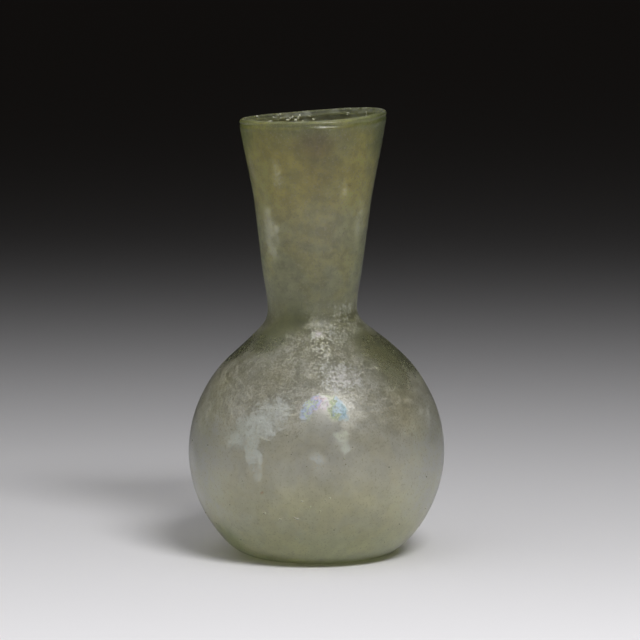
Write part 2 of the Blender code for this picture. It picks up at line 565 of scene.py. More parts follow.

    # Where the weathering, and the painted light and shade, lie
    clean: tuple[Patch, ...] = (
        Patch((-12.5, -10.4, 56.6), 8.5, soft=0.9),
        Patch((-7.0, -11.0, 60.0), 6.0, soft=0.9),
        Patch((16.0, -9.0, 52.4), 12.0, soft=1.0),
        Patch((0.4, -31.0, 28.5), 10.5, soft=0.45),
        Patch((1.2, -29.3, 37.6), 5.5, soft=0.6),
        Patch((19.5, -14.0, 47.5), 9.0, soft=1.0),
        Patch((19.5, -2.0, 50.5), 13.0, tall=0.8, soft=1.0),
        Patch((-19.0, -1.0, 52.0), 10.0, tall=0.8, soft=1.0),
    )
    # Painted sheen: patches down the front of the shoulder that stand in for the lamps' broad
    # reflection; the frost is drawn brighter there
    painted_sheen_patches: tuple[Patch, ...] = (
        Patch((1.8, -15.0, 56.0), 5.5, soft=1.0),
        Patch((1.6, -17.6, 53.8), 6.5, soft=1.0),
        Patch((3.2, -21.5, 50.5), 6.0, soft=1.0),
        Patch((5.0, -23.4, 47.8), 8.0, soft=0.9),
        Patch((7.9, -25.4, 44.0), 7.0, strength=0.55, soft=1.0),
        Patch((6.5, -10.0, 61.5), 6.0, soft=1.0),
        Patch((-22.0, -10.0, 47.0), 6.0, strength=0.7, soft=1.0),
    )
    # Milky film, with painted light among it: sheen on the shoulder and light bands on the neck
    milky_and_painted_light: tuple[Patch, ...] = (
        Patch((-11.3, -26.3, 39.6), 7.5, (0.79, 0.86, 0.86), 0.75, soft=1.0),
        Patch((-14.9, -26.2, 37.6), 6.5, (0.77, 0.86, 0.85), 0.7, soft=1.0),
        Patch((-8.1, -27.4, 40.6), 5.5, (0.82, 0.87, 0.89), 0.7, soft=1.0),
        Patch((-19.1, -24.7, 34.8), 5.5, (0.79, 0.88, 0.84), 1.0, soft=1.0),
        Patch((-20.8, -23.5, 32.4), 5.0, (0.79, 0.88, 0.83), 0.9, soft=1.0),
        Patch((-9.8, -28.5, 36.6), 5.0, (0.82, 0.86, 0.90), 0.6, soft=1.0),
        Patch((-13.2, -27.7, 34.9), 5.0, (0.80, 0.87, 0.86), 0.9, soft=1.0),
        Patch((-16.6, -26.8, 33.2), 4.8, (0.79, 0.87, 0.84), 0.9, soft=1.0),
        Patch((-16.4, -27.2, 30.6), 4.2, (0.76, 0.86, 0.86), 1.0, soft=1.0),
        Patch((-15.2, -28.0, 27.8), 3.8, (0.76, 0.86, 0.88), 1.1, soft=1.0),
        Patch((-14.2, -28.7, 24.6), 2.6, (0.78, 0.86, 0.84), 0.9, tall=1.5, soft=1.0),
        Patch((0.4, -31.9, 28.2), 4.6, (0.66, 0.78, 0.92), 0.62, tall=1.2, soft=1.0),
        Patch((6.2, -30.2, 34.4), 3.0, (0.90, 1.0, 0.80), 1.5, tall=0.7, soft=0.8),
        Patch((6.9, -30.6, 31.8), 2.0, (0.90, 1.0, 0.84), 1.2, tall=1.7, soft=1.0),
        Patch((-4.0, -27.3, 8.4), 4.0, (0.84, 0.92, 0.72), 0.75, soft=1.0),
        Patch((-17.5, -23.6, 12.0), 4.0, (0.86, 0.90, 0.80), 0.75, soft=1.0),
        Patch((-23.8, -17.0, 17.0), 6.0, (0.84, 0.90, 0.78), 0.55, tall=1.3, soft=1.0),
        # These four are painted sheen on the front of the shoulder and at the foot of the neck
        Patch((2.8, -21.5, 51.0), 5.5, (0.96, 0.94, 0.98), 0.50, soft=1.0),
        Patch((5.0, -23.4, 47.8), 7.5, (0.97, 0.95, 1.0), 1.0, soft=1.0),
        Patch((9.0, -22.0, 48.2), 5.5, (0.97, 0.95, 1.0), 0.9, soft=1.0),
        Patch((9.0, -7.5, 62.5), 5.0, (0.93, 0.92, 0.82), 0.9, soft=1.0),
        Patch((-16.3, -6.1, 96.7), 3.0, (0.88, 0.90, 0.78), 1.0, tall=2.0, soft=1.0),
        Patch((-15.0, -1.6, 90.4), 2.6, (0.88, 0.90, 0.80), 1.0, tall=1.6, soft=1.0),
        # These four are painted light bands on the left and right of the neck
        Patch((-11.2, -9.0, 83.0), 5.0, (0.93, 0.92, 0.78), 0.95, tall=1.8, soft=1.0),
        Patch((11.4, -8.6, 84.5), 6.0, (0.93, 0.92, 0.78), 0.65, tall=1.5, soft=1.0),
        Patch((-9.6, -13.5, 95.0), 3.4, (0.96, 0.91, 0.62), 0.70, tall=3.0, soft=1.0),
        Patch((7.2, -13.6, 92.0), 3.6, (0.96, 0.91, 0.66), 0.65, tall=3.0, soft=1.0),
        Patch((-27.8, -10.0, 36.5), 13.0, (0.94, 0.91, 0.76), 0.85, soft=1.0),
        Patch((26.5, -13.0, 37.5), 12.0, (0.94, 0.91, 0.78), 0.6, soft=1.0),
        Patch((5.0, -13.0, 58.5), 5.0, (0.95, 0.95, 0.96), 0.7, soft=1.0),
        Patch((-10.5, -8.0, 76.5), 6.0, (0.92, 0.93, 0.80), 0.45, tall=1.6, soft=1.0),
        Patch((20.0, 22.0, 36.0), 9.0, (0.76, 0.86, 0.84), 0.8, soft=1.0),
        Patch((-8.0, 29.0, 33.0), 8.0, (0.76, 0.86, 0.84), 0.8, tall=1.3, soft=1.0),
        Patch((30.0, 4.0, 30.0), 7.0, (0.78, 0.86, 0.80), 0.7, soft=1.0),
    )
    # Stains and tints, with painted shade and light among them
    stains_and_painted_light: tuple[Patch, ...] = (
        Patch((-0.6, -17.4, 103.8), 7.0, (0.74, 0.65, 0.52), 0.9, tall=0.7, soft=0.7),
        Patch((1.0, -16.2, 99.5), 8.0, (0.82, 0.80, 0.70), 0.9, soft=0.8),
        # Painted shade at the neck's left and right edges below the lip
        Patch((17.0, -4.0, 105.0), 9.0, (0.46, 0.54, 0.40), 0.9, soft=0.9),
        Patch((-18.0, -4.0, 105.0), 8.0, (0.76, 0.84, 0.74), 0.9, soft=0.9),
        # Painted shade at the shoulder's left and right edges
        Patch((20.5, -2.0, 50.5), 14.0, (0.86, 0.89, 0.72), 1.0, tall=0.8, soft=1.0),
        Patch((-19.0, -1.0, 52.5), 10.5, (0.74, 0.77, 0.58), 1.0, tall=0.8, soft=1.0),
        Patch((-12.0, -10.4, 56.6), 7.5, (0.80, 0.83, 0.66), 0.9, soft=0.7),
        Patch((-6.4, -10.2, 61.0), 5.5, (0.80, 0.82, 0.70), 0.8, soft=0.7),
        Patch((-2.8, -11.6, 61.0), 6.0, (0.68, 0.70, 0.58), 0.9, soft=1.0),
        # Painted shade below the iridescent arch, dimming the key lamp's highlight
        Patch((3.4, -30.0, 36.0), 4.5, (0.84, 0.84, 0.86), 0.9, soft=0.8),
        Patch((-9.0, -21.0, 47.5), 6.0, (0.88, 0.86, 0.76), 0.8, soft=0.9),
        Patch((15.0, -10.0, 53.0), 11.0, (0.93, 0.94, 0.78), 0.8, soft=1.0),
        # Painted light on the body's right side
        Patch((19.5, -15.0, 46.0), 8.0, (1.12, 1.12, 1.02), 0.9, soft=1.0),
        Patch((0.4, -31.0, 25.5), 10.0, (0.88, 0.88, 0.90), 0.9, soft=0.6),
        Patch((0.0, 17.0, 107.5), 26.0, (0.50, 0.52, 0.46), 0.95, tall=0.3, soft=0.5),
        # Painted light on the body's left side, a little tan
        Patch((-23.3, -7.1, 45.0), 10.0, (1.08, 1.05, 0.95), 0.8, soft=1.0),
        Patch((-25.5, -13.0, 38.5), 12.0, (1.16, 1.14, 1.03), 0.9, soft=1.0),
        Patch((23.4, -19.0, 38.5), 10.0, (1.0, 0.96, 0.82), 0.7, soft=0.7),
        Patch((-13.2, -28.7, 20.1), 0.9, (0.75, 0.45, 0.30), 0.8, soft=0.8),
        Patch((-18.9, -21.4, 42.1), 0.9, (0.50, 0.38, 0.25), 0.9, soft=0.6),
        Patch((-7.2, -17.3, 106.9), 0.5, (0.30, 0.26, 0.14), 0.9, soft=0.6),
        Patch((12.4, -11.6, 103.9), 0.6, (0.35, 0.28, 0.16), 0.9, tall=1.4, soft=0.6),
        Patch((8.1, -12.2, 93.5), 0.7, (0.60, 0.52, 0.36), 0.8, soft=0.6),
        Patch((7.1, -11.5, 82.7), 0.5, (0.60, 0.52, 0.40), 0.8, soft=0.6),
        # Painted shade, dark green, low on the left
        Patch((-22.6, -11.4, 5.4), 8.0, (0.72, 0.80, 0.56), 0.9, tall=0.8, soft=0.6),
    )
    # The iridescent arch: partly iridescent film, partly a painted highlight, its pastel colours
    # laid where the key lamp's reflection lies
    pearl_disc: Patch = Patch((1.9, -28.6, 38.6), 7.0, soft=0.4)
    pearl_gap: Patch = Patch((0.9, -29.2, 38.3), 3.9, soft=0.6)
    pearl_foot: Fade = Fade(38.3 * MM, 39.9 * MM)
    pearl_fray: float = 2.0 * MM
    pearl_grain: float = 0.6
    pearl_edge: Fade = Fade(0.50, 0.85)
    shimmer_grain: Fade = Fade(0.36, 0.54, 0.66, 1.0)
    dull_spot: Patch = Patch((3.0, -29.8, 36.2), 8.0, strength=0.18, soft=0.8)
    # Painted highlights at the foot of the neck
    glints: tuple[Patch, ...] = (
        Patch((-0.7, -13.4, 56.1), 1.5, strength=0.8, tall=1.2, soft=0.9),
        Patch((0.6, -13.6, 57.9), 1.9, strength=0.8, tall=1.3, soft=0.9),
    )
    pearl_jitter: float = 11.0 * MM
    pearl_colours: tuple[tuple[float, Colour], ...] = (
        (-4.0 * MM, (0.60, 0.72, 0.94)),
        (-2.6 * MM, (0.66, 0.74, 0.92)),
        (-1.6 * MM, (0.74, 0.84, 0.58)),
        (-0.6 * MM, (0.60, 0.64, 0.92)),
        (0.6 * MM, (0.92, 0.74, 0.80)),
        (1.8 * MM, (0.98, 0.97, 0.98)),
        (3.2 * MM, (0.92, 0.94, 0.76)),
        (4.4 * MM, (0.58, 0.68, 0.42)),
        (5.6 * MM, (0.62, 0.74, 0.86)),
        (7.5 * MM, (0.46, 0.66, 0.74)),
    )

    def cover(self, g: Graph, place: Socket, patches: tuple[Patch, ...]) -> Socket:
        """Return how much of the glass a group of patches covers."""
        total = g.near(place, patches[0])
        for patch in patches[1:]:
            total = g.calc("MAXIMUM", total, g.near(place, patch))
        return total

    def shared_patterns(self, g: Graph) -> Patterns:
        """Return the outputs that several parts of the finish read."""
        height = g.axis("Z")
        grain = g.clouds(self.grain)
        mottle = g.clouds(self.mottle)
        torn = g.frayed(self.tearing, self.tear_reach)
        patchy = g.calc("MULTIPLY", grain, self.patchy_grain)
        patchy = g.calc("MULTIPLY_ADD", mottle, self.patchy_mottle, patchy)

        clean = self.cover(g, torn, self.clean)
        clean = g.calc("SUBTRACT", clean, NOISE_MIDDLE * self.clean_fray)
        clean = g.fade(g.calc("MULTIPLY_ADD", patchy, self.clean_fray, clean), self.clean_edge)
        shoulder = g.within(height, self.shoulder)
        return Patterns(
            height=height,
            grain=grain,
            mottle=mottle,
            patchy=patchy,
            torn=torn,
            nibbled=g.frayed(self.nibbling, self.nibble_reach),
            neck=g.fade(height, self.neck_from),
            shoulder=shoulder,
            clean=clean,
            weather=g.calc("MULTIPLY", shoulder, g.calc("SUBTRACT", 1.0, clean)),
            path=self.cover(g, torn, self.painted_sheen_patches),
        )

    def bare_glass(self, g: Graph, p: Patterns) -> Socket:
        """Return the colour of the glass under its weathering, with painted light and shade on the
        neck and the body's sides.
        """
        colour = g.ramp(p.height, self.tones)

        # The painted light and shade across the neck follow its taper: the last stop is its edge at
        # each height
        reach = g.calc("MULTIPLY_ADD", p.height, self.neck_taper, self.neck_reach)
        across = g.calc("DIVIDE", g.calc("ADD", g.axis("X"), self.neck_aside), reach)
        across = g.calc("MULTIPLY", across, self.painted_neck_bands[-1][0])
        painted_bands = g.mix(p.neck, WHITE, g.ramp(across, self.painted_neck_bands))
        colour = g.mix(1.0, colour, painted_bands, "MULTIPLY")

        marks = g.fade(g.clouds(self.streaks), self.mark_gain)
        marks = g.calc("MULTIPLY", marks, g.within(p.height, self.mark_belt))
        # Painted light on the body's left and right sides
        painted_limbs = g.fade(g.calc("ABSOLUTE", g.axis("X")), self.painted_limb_from)
        painted_limbs = g.calc("MULTIPLY", painted_limbs, g.within(p.height, self.painted_limb_belt))
        painted_limbs = g.calc("MULTIPLY_ADD", painted_limbs, self.painted_limb_light, self.evenness)
        swing = g.calc("MULTIPLY_ADD", p.neck, self.neck_swing, self.body_swing)
        cloudy = g.calc("MULTIPLY_ADD", g.fade(p.mottle, self.cloud_gain), swing, painted_limbs)
        colour = g.mix(1.0, colour, g.calc("ADD", marks, cloudy), "MULTIPLY")

        drifts = g.fade(g.clouds(self.drifts), self.drift_edge)
        tint = g.mix(drifts, self.warm_tint, self.cool_tint)
        tinted = g.calc("MULTIPLY_ADD", p.neck, 1.0 - self.body_tint, self.body_tint)
        return g.mix(tinted, colour, tint, "MULTIPLY")

    def frost_cover(self, g: Graph, p: Patterns) -> Socket:
        """Return how much of the glass frost covers: on the shoulder and where the painted sheen
        lies.
        """
        frost = g.calc("MULTIPLY_ADD", p.weather, self.frost_gain, p.patchy)
        where = g.calc("MAXIMUM", p.weather, p.path)
        return g.calc("MULTIPLY", g.fade(frost, self.frost_edge), where)

    def speckle(self, g: Graph, p: Patterns, colour: Socket, frost: Socket) -> Socket:
        """Lay frost, pits, crumbs, stain tints and painted light and shade over the glass.

        Args:
            g: The material's nodes.
            p: The shared patterns.
            colour: The colour of the glass below.
            frost: How much of it frost covers.

        Returns:
            The new colour.
        """
        # Where the painted sheen lies, the frost is laid on more thickly, as painted light
        share = g.calc("MULTIPLY_ADD", p.path, self.painted_sheen_share, self.frost_share)
        colour = g.mix(g.calc("MULTIPLY", frost, share), colour, self.frost)
        pits = g.calc("MULTIPLY_ADD", p.weather, self.pit_gain, g.clouds(self.pitting))
        pits = g.calc("MULTIPLY", g.fade(pits, self.pit_edge), self.pit_share)
        colour = g.mix(pits, colour, self.pit)
        where = g.calc("MAXIMUM", p.neck, p.weather)
        crumbs = g.calc("MULTIPLY", g.fade(p.grain, self.crumb_edge), where)
        colour = g.mix(g.calc("MULTIPLY", crumbs, self.crumb_share), colour, self.crumb)
        for patch in self.stains_and_painted_light:
            place = p.torn if patch.reach > self.small_tint_patch else p.nibbled
            colour = g.mix(g.near(place, patch), colour, patch.colour, "MULTIPLY")
        return colour

    def milky_film_and_painted_light(self, g: Graph, p: Patterns) -> tuple[Socket, Socket]:
        """Return how much milk-white film, with its painted sheen and light bands, covers the glass,
        and its colour.

        The film dissolves at its edges into fine specks.
        """
        film: object = 0.0
        film_and_light_colour: object = self.milky_and_painted_light[0].colour
        for patch in self.milky_and_painted_light:
            share = g.near(p.torn if patch.reach > self.small_film else p.nibbled, patch)
            film_and_light_colour = g.mix(share, film_and_light_colour, patch.colour)
            film = g.calc("ADD", film, share)
        middle = NOISE_MIDDLE * (self.dust_grain + self.dust_mottle)
        dust = g.calc("MULTIPLY_ADD", p.mottle, self.dust_mottle, -middle)
        dust = g.calc("MULTIPLY_ADD", p.grain, self.dust_grain, dust)
        dusty = g.fade(g.calc("ADD", film, dust), self.film_edge)
        dusty = g.calc("MULTIPLY", dusty, g.fade(film, self.film_feather))
        return g.calc("MULTIPLY", dusty, g.fade(p.patchy, self.film_grain)), film_and_light_colour

    def mouth_caking(self, g: Graph, p: Patterns) -> tuple[Socket, Socket]:
        """Return where the inside of the mouth is, and how much crust cakes it there."""
        beside = (self.mouth_aside, 0.0, 0.0)
        from_axis = g.move("LENGTH", g.move("MULTIPLY_ADD", g.place, (1.0, 1.0, 0.0), beside))
        across = g.calc("MULTIPLY_ADD", p.height, -self.mouth_flare, from_axis)
        inside = g.fade(across, self.mouth_wall)
        inside = g.calc("MULTIPLY", inside, g.fade(p.height, self.mouth_from))
        caked = g.calc("ADD", g.clouds(self.caking), g.fade(p.height, self.lip_caking))
        return inside, g.calc("MULTIPLY", inside, g.fade(caked, self.cake_edge))

    def pearl_and_painted_highlight(self, g: Graph, p: Patterns) -> tuple[Socket, Socket, Socket]:
        """Return how much of the iridescent arch and its painted highlight there is, how much of it
        is a painted glint, and its colour.
        """
        disc, gap = g.near(p.nibbled, self.pearl_disc), g.near(p.nibbled, self.pearl_gap)
        ring = g.calc("MULTIPLY_ADD", p.grain, self.pearl_grain, g.calc("SUBTRACT", disc, gap))
        foot = g.calc("MULTIPLY_ADD", p.grain, self.pearl_fray, p.height)
        arch = g.calc("MULTIPLY", g.fade(ring, self.pearl_edge), g.fade(foot, self.pearl_foot))
        glint = self.cover(g, p.nibbled, self.glints)

        jitter = g.calc("SUBTRACT", g.clouds(self.colour_play), NOISE_MIDDLE)
        along = g.calc("MULTIPLY_ADD", jitter, self.pearl_jitter, g.axis("X"))
        dimmed = g.fade(p.grain, self.shimmer_grain)
        shimmer = g.mix(1.0, g.ramp(along, self.pearl_colours), dimmed, "MULTIPLY")
        return g.calc("MAXIMUM", arch, glint), glint, g.mix(glint, shimmer, self.glint_colour)

    def add_depth(self, g: Graph) -> None:
        """Tint the light by how much glass it goes through."""
        depth = g.add("ShaderNodeVolumeAbsorption")
        depth.inputs["Color"].default_value = (*self.depth_colour, 1.0)
        depth.inputs["Density"].default_value = self.depth_density
        g.feed(g.nodes["Material Output"].inputs["Volume"], depth.outputs["Volume"])

    def make(self) -> bpy.types.Material:
        """Return the finish as a material."""
        g = Graph(self.name)
        p = self.shared_patterns(g)
        frost = self.frost_cover(g, p)
        film, film_and_light_colour = self.milky_film_and_painted_light(g, p)
        inside, caked = self.mouth_caking(g, p)
        pearl_and_highlight, glint, shimmer = self.pearl_and_painted_highlight(g, p)

        colour = self.speckle(g, p, self.bare_glass(g, p), frost)
        # The milky film, with its painted sheen and light bands, laid over the glass
        colour = g.mix(film, colour, film_and_light_colour)
        colour = g.mix(g.calc("MULTIPLY", caked, self.cake_share), colour, self.crust)
        # The iridescent arch and glints: colour laid on as a painted highlight
        colour = g.mix(pearl_and_highlight, colour, shimmer)
        g.feed(g.shader.inputs["Base Color"], g.move("MINIMUM", colour, self.brightest))

        # The painted sheen veils the glass more, so that it shows brighter
        veil = g.calc("MULTIPLY_ADD", p.path, self.painted_sheen_veil, self.frost_veil)
        veil = g.calc("MAXIMUM", g.calc("MULTIPLY", frost, veil), film)
        veil = g.calc("MAXIMUM", veil, caked)
        see = g.fade(p.height, self.clear)
        see = g.calc("MULTIPLY_ADD", veil, self.milk_transmission - self.clear.end, see)
        # The iridescent arch and the painted glints let less light through, so they show brighter
        see = g.calc("MULTIPLY_ADD", pearl_and_highlight, self.pearl_transmission - self.clear.end, see)
        see = g.calc("MULTIPLY_ADD", glint, -self.glint_depth, see)
        g.feed(g.shader.inputs["Transmission Weight"], see)
        g.feed(g.shader.inputs["Metallic"], g.calc("MULTIPLY", pearl_and_highlight, self.pearl_metal))

        rough = g.fade(g.calc("MULTIPLY", p.clean, p.shoulder), self.rough)
        collar = g.within(p.height, self.collar)
        rough = g.calc("MULTIPLY_ADD", collar, self.collar_roughness, rough)
        rough = g.calc("MULTIPLY_ADD", pearl_and_highlight, self.pearl_roughness, rough)
        rough = g.calc("ADD", rough, g.near(p.torn, self.dull_spot))
        rough = g.calc("MULTIPLY_ADD", inside, self.mouth_roughness, rough)
        g.feed(g.shader.inputs["Roughness"], rough)
        g.shader.inputs["Sheen Weight"].default_value = self.sheen
        g.shader.inputs["Sheen Roughness"].default_value = self.sheen_roughness
        g.shader.inputs["IOR"].default_value = self.ior
        self.add_depth(g)
        dents = g.calc("MULTIPLY", p.grain, g.calc("ADD", p.weather, self.dent_floor))
        g.dent(dents, self.dent_depth, self.dent_strength)
        return g.material


@dataclass(frozen=True)
class ChalkyCrust:
    """Dry burial crust, cream white where it is thick."""

    name: str = "chalky_crust"
    pale: Colour = (0.66, 0.67, 0.58)
    dark: Colour = (0.42, 0.42, 0.32)
    crumbs: Cloud = Cloud(0.3 * MM, 4.0, 0.6)
    crumb_edge: Fade = Fade(0.35, 0.6)
    crumb_depth: float = 0.04 * MM
    roughness: float = 0.85

    def make(self) -> bpy.types.Material:
        """Return the finish as a material."""
        g = Graph(self.name)
        crumbs = g.clouds(self.crumbs)
        colour = g.mix(g.fade(crumbs, self.crumb_edge), self.dark, self.pale)
        g.feed(g.shader.inputs["Base Color"], colour)
        g.shader.inputs["Roughness"].default_value = self.roughness
        g.dent(crumbs, self.crumb_depth)
        return g.material


@dataclass
class Flask:
    """The blown vessel: body, neck and lip in one piece of glass, sizes in metres."""

    body_radius: float = 32.0 * MM
    body_centre: float = 26.1 * MM
    foot_rounding: float = 12.0 * MM
    kick_radius: float = 8.5 * MM
    kick_height: float = 1.2 * MM
    shoulder_slope: float = math.radians(41.7)
    neck_foot_radius: float = 11.1 * MM
    neck_hollow: float = 6.2 * MM
    neck_stations: tuple[tuple[float, float], ...] = (
        (70.0 * MM, 12.35 * MM),
        (80.0 * MM, 13.65 * MM),
        (90.0 * MM, 14.85 * MM),
        (100.0 * MM, 16.85 * MM),
        (108.65 * MM, 18.4 * MM),
    )
    lip_rows_from: float = 103.5 * MM
    foot_wall: float = 2.6 * MM
    body_wall: float = 1.6 * MM
    neck_wall: float = 1.3 * MM
    lip_wall: float = 1.7 * MM
    foot_wall_to: float = 14.0 * MM
    neck_wall_from: Limits = (48.0 * MM, 62.0 * MM)
    lip_wall_from: Limits = (102.0 * MM, 107.0 * MM)

    # Rows and steps of the section
    segments: int = 60
    kick_steps: int = 3
    foot_steps: int = 4
    globe_steps: int = 18
    slope_steps: int = 3
    hollow_steps: int = 5
    neck_steps: int = 12
    lip_rows: int = 8
    lip_steps: int = 6

    # How the whole leans to one side, and how the lip rises and dips
    lean_from: float = 52.0 * MM
    lean_to: float = 62.0 * MM
    neck_shift_foot: float = -1.1 * MM
    neck_shift_gain: float = 0.3 * MM
    shoulder_fullness: float = 0.5 * MM
    shoulder_height: float = 52.5 * MM
    shoulder_spread: float = 7.0 * MM
    lip_rise: float = 1.04 * MM
    lip_rise_from: float = 84.0 * MM
    lip_wave_sides: float = 0.27 * MM
    lip_wave_back: float = 0.15 * MM
    lip_dip: float = 0.12 * MM
    lip_dip_scale: float = 200.0
    front_lift: float = 0.45 * MM

    # How the wall stands in from its true round, above the level foot
    relief_from: float = 8.0 * MM
    sag: float = 0.22 * MM
    sag_length: float = 17.0 * MM
    ripple: float = 0.07 * MM
    ripple_length: float = 5.0 * MM
    tool_marks: float = 0.10 * MM
    mark_scale: Point = (55.0, 55.0, 620.0)
    marks_from: Limits = (62.0 * MM, 68.0 * MM)
    marks_to: Limits = (78.0 * MM, 90.0 * MM)
    wander_scale: float = 130.0
    wander_rise: float = 0.3 * MM
    groove: float = 0.42 * MM
    groove_least: float = 0.75
    groove_wander: float = 0.4
    groove_height: float = 108.4 * MM
    groove_width: float = 0.40 * MM
    ridge: float = 0.22 * MM
    ridge_least: float = 0.45
    ridge_height: float = 107.4 * MM
    ridge_width: float = 0.45 * MM
    ridge_front: float = 10.0 * MM
    lump_scale: float = 480.0
    finish: WeatheredGlass = field(default_factory=WeatheredGlass)

    def wall_at(self, height: float) -> float:
        """Return the wall's thickness at a height."""
        wall = self.foot_wall
        wall += (self.body_wall - self.foot_wall) * ease(height, 0.0, self.foot_wall_to)
        wall += (self.neck_wall - self.body_wall) * ease(height, *self.neck_wall_from)
        return wall + (self.lip_wall - self.neck_wall) * ease(height, *self.lip_wall_from)

    def arc(self, centre: tuple[float, float], radius: float, start: float, end: float,
            steps: int) -> Outline:
        """Return points along an arc, without the first; an angle of 0 points straight down."""
        points = []
        for step in range(1, steps + 1):
            angle = start + (end - start) * step / steps
            across, down = radius * math.sin(angle), radius * math.cos(angle)
            points.append((centre[0] + across, centre[1] - down))
        return points

    def neck_curve(self, foot_height: float) -> Outline:
        """Return the neck's outside from its foot to the lip, without the first point."""
        stations = ((foot_height, self.neck_foot_radius),) + self.neck_stations
        slopes = [0.0]
        for before, after in zip(stations, stations[2:]):
            slopes.append((after[1] - before[1]) / (after[0] - before[0]))
        last, end = stations[-2], stations[-1]
        slopes.append((end[1] - last[1]) / (end[0] - last[0]))

        heights = []
        for step in range(1, self.neck_steps + 1):
            heights.append(foot_height + (self.lip_rows_from - foot_height) * step / self.neck_steps)
        for step in range(1, self.lip_rows + 1):
            heights.append(self.lip_rows_from + (end[0] - self.lip_rows_from) * step / self.lip_rows)

        points = []
        for height in heights:
            span = max(i for i in range(len(stations) - 1) if stations[i][0] < height)
            (low, low_radius), (high, high_radius) = stations[span], stations[span + 1]
            length = high - low
            t = (height - low) / length
            radius = (2 * t**3 - 3 * t**2 + 1) * low_radius + (3 * t**2 - 2 * t**3) * high_radius
            radius += (t**3 - 2 * t**2 + t) * length * slopes[span]
            radius += (t**3 - t**2) * length * slopes[span + 1]
            points.append((radius, height))
        return points

    def outside(self) -> Outline:
        """Return the outside as (radius, height) points, from under the base to the lip."""
        points = [(0.0, self.kick_height)]
        for step in range(1, self.kick_steps + 1):
            share = step / self.kick_steps
            rise = self.kick_height * (1.0 + math.cos(math.pi * share)) / 2.0
            points.append((self.kick_radius * share, rise))

        drop = self.body_centre - self.foot_rounding
        foot_radius = math.sqrt((self.body_radius - self.foot_rounding) ** 2 - drop**2)
        globe_start = math.atan2(foot_radius, drop)
        foot = (foot_radius, self.foot_rounding)
        points.append((foot_radius, 0.0))
        points += self.arc(foot, self.foot_rounding, 0.0, globe_start, self.foot_steps)
        globe_end = math.pi - self.shoulder_slope
        globe = (0.0, self.body_centre)
        points += self.arc(globe, self.body_radius, globe_start, globe_end, self.globe_steps)

        globe_radius, globe_height = points[-1]
        hollow_radius = self.neck_foot_radius + self.neck_hollow
        cosine, sine = math.cos(self.shoulder_slope), math.sin(self.shoulder_slope)
        run = (globe_radius + self.neck_hollow * sine - hollow_radius) / cosine
        for step in range(1, self.slope_steps + 1):
            along = run * step / self.slope_steps
            points.append((globe_radius - along * cosine, globe_height + along * sine))
        hollow_height = globe_height + run * sine + self.neck_hollow * cosine
        hollow = (hollow_radius, hollow_height)
        slope, upright = -self.shoulder_slope, -math.pi / 2.0
        points += self.arc(hollow, self.neck_hollow, slope, upright, self.hollow_steps)
        return points + self.neck_curve(hollow_height)

    def section(self) -> Outline:
        """Return the glass's whole section: outside, rounded lip and inside."""
        outer = self.outside()
        inner = []
        for index, (radius, height) in enumerate(outer):
            before = outer[max(index - 1, 0)]
            after = outer[min(index + 1, len(outer) - 1)]
            along = Vector((after[0] - before[0], after[1] - before[1])).normalized()
            if index == 0:
                along = Vector((1.0, 0.0))
            wall = self.wall_at(height)
            inner.append((radius - along.y * wall, height + along.x * wall))

        # The inside is seen less closely, so it keeps each second row
        inner = inner[::2] + ([] if len(inner) % 2 else inner[-1:])
        inner.reverse()
        (outside, outside_height), (inside, inside_height) = outer[-1], inner[0]
        lip = []
        for step in range(1, self.lip_steps):
            angle = math.pi * step / self.lip_steps
            across = (1.0 - math.cos(angle)) / 2.0
            height = outside_height + (inside_height - outside_height) * across
            radius = outside + (inside - outside) * across
            lip.append((radius, height + self.lip_wall / 2.0 * math.sin(angle)))
        return outer + lip + inner

    def turn(self) -> bpy.types.Object:
        """Draw the section point by point and spin it about the vertical axis."""
        deselect_all()
        section = self.section()
        bpy.ops.mesh.primitive_plane_add(size=1.0 * MM, location=(0.0, 0.0, 0.0))
        piece = bpy.context.object
        piece.name = piece.data.name = "blown_glass"
        bpy.ops.object.mode_set(mode="EDIT")
        bpy.ops.mesh.select_mode(type="VERT")
        bpy.ops.mesh.merge(type="CENTER")
        bpy.ops.transform.translate(value=(section[0][0], 0.0, section[0][1]))
        for (radius, height), (next_radius, next_height) in zip(section, section[1:]):
            step = (next_radius - radius, 0.0, next_height - height)
            bpy.ops.mesh.extrude_region_move(TRANSFORM_OT_translate={"value": step})
        bpy.ops.mesh.select_all(action="SELECT")
        turn = 2.0 * math.pi
        bpy.ops.mesh.spin(steps=self.segments, angle=turn, center=(0, 0, 0), axis=(0, 0, 1))
        bpy.ops.mesh.select_all(action="SELECT")
        bpy.ops.mesh.remove_doubles(threshold=WELD)
        bpy.ops.mesh.normals_make_consistent(inside=False)
        bpy.ops.object.mode_set(mode="OBJECT")
        return piece

    def sink(self, spot: Vector) -> float:
        """Return how far the hand-blown wall stands in from its true round.

        Args:
            spot: A point of the true round form.

        Returns:
            A distance towards the vertical axis, in metres.
        """
        depth = self.sag * as_share(noise.noise(spot / self.sag_length))
        depth += self.ripple * as_share(noise.noise(spot / self.ripple_length))

        # Fine level marks from turning the neck against the tool
        marks = noise.noise(Vector([part * scale for part, scale in zip(spot, self.mark_scale)]))
        neck = ease(spot.z, *self.marks_from) * (1.0 - ease(spot.z, *self.marks_to))
        depth += self.tool_marks * as_share(marks) * neck

        # The groove under the rolled lip, and the uneven ridge below it, wander up and down
        wander = round_noise(spot, self.wander_scale, layer=3.0)
        rise = self.wander_rise * wander
        cut = self.groove * (self.groove_least + self.groove_wander * wander)
        depth += cut * hump(spot.z, self.groove_height + rise, self.groove_width)
        lumps = round_noise(spot, self.lump_scale, layer=9.0)
        swell = ease(-spot.y, 0.0, self.ridge_front) * max(self.ridge_least + lumps, 0.0)
        return depth - self.ridge * swell * hump(spot.z, self.ridge_height + rise, self.ridge_width)

